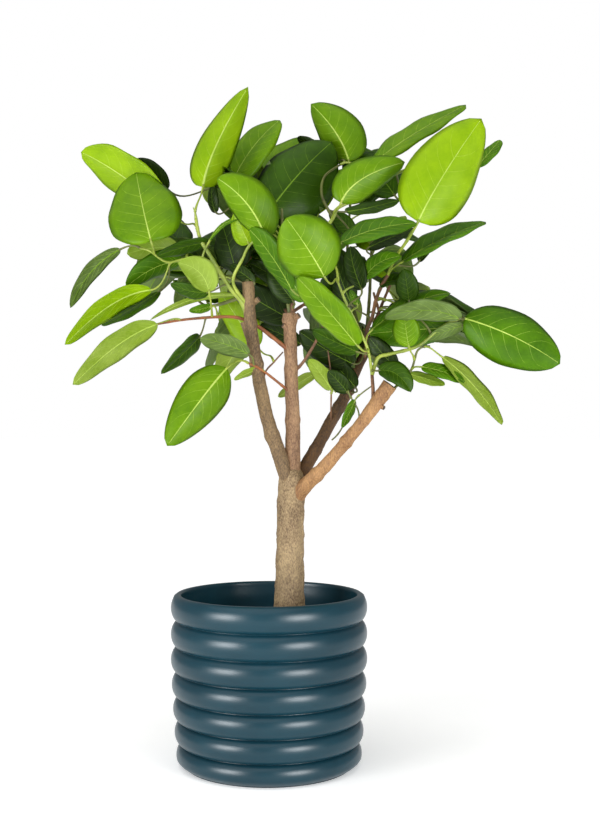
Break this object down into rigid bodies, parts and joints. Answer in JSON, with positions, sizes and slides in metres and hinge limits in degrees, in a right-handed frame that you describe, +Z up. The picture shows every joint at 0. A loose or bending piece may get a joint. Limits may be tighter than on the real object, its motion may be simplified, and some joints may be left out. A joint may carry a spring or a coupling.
{
  "type": "potted banyan tree",
  "caption": "Young broad-leaved banyan tree with a bare trunk, four lopped boughs and an open crown, in a round ribbed planter.",
  "frame": {"origin": "centre of the planter's flat underside", "axes": "+Z up along the trunk; the side shown in the picture faces -Y, its right-hand side is +X"},
  "size_m": [0.747, 0.4954, 1.034],
  "materials": {
    "glaze": "satin",
    "soil": "matte",
    "bark": "matte",
    "leaf": "satin"
  },
  "bodies": {
    "root": {"pot": "glaze", "soil": "soil", "trunk": "bark", "bough_middle": "bark", "bough_left": "bark", "bough_right": "bark", "bough_rear": "bark", "leaves_heart": "leaf", "leaves_heart_low": "leaf", "leaves_top_left": "leaf", "leaves_top_middle": "leaf", "leaves_top_centre": "leaf", "leaves_upper_right": "leaf", "leaves_upper_far": "leaf", "leaves_right_lobe": "leaf", "leaves_right_middle": "leaf", "leaves_right_low": "leaf", "leaves_far_right": "leaf", "leaves_right_hanging": "leaf", "leaves_upper_left": "leaf", "leaves_left_middle": "leaf", "leaves_far_left": "leaf", "leaves_left_long": "leaf", "leaves_left_low": "leaf", "leaves_left_hook": "leaf", "leaves_low_left": "leaf", "leaves_inner_left": "leaf", "leaves_low_centre": "leaf", "leaves_low_right": "leaf", "leaves_back_top": "leaf", "leaves_back_left": "leaf", "leaves_back_right": "leaf", "leaves_back_low": "leaf", "leaves_front_centre": "leaf", "leaves_front_left": "leaf", "leaves_front_right": "leaf"}
  },
  "joints": []
}
